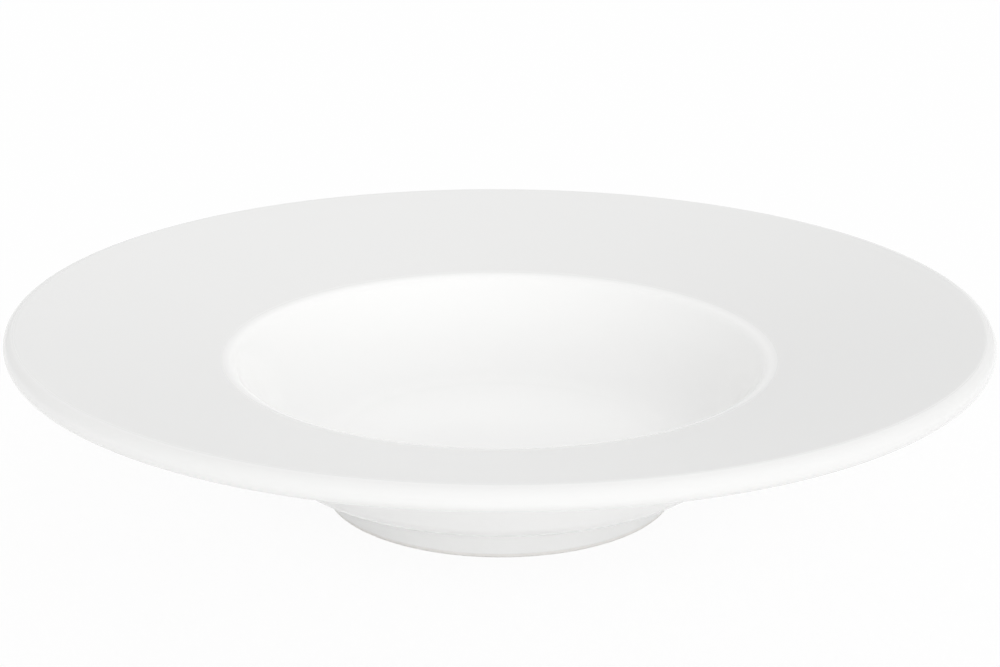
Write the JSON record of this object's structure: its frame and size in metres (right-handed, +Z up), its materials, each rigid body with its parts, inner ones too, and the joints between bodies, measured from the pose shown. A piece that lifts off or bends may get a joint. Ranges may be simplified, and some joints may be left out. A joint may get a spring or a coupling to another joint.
{
  "type": "pasta bowl",
  "caption": "Round white porcelain pasta bowl with a wide sloping rim, a deep well, a thick rounded edge and an inset foot ring, glazed all over except the standing edge.",
  "frame": {"origin": "centre of the foot ring, on the table", "axes": "+Z up along the bowl's axis; X and Y lie on the table, and the bowl is round, so it has no front"},
  "size_m": [0.27, 0.27, 0.055],
  "materials": {
    "porcelain": "matte",
    "glaze": "gloss"
  },
  "bodies": {
    "root": {"bowl": "porcelain", "foot_ring": "porcelain", "glaze_coat": "glaze", "base_glaze": "glaze"}
  },
  "joints": []
}
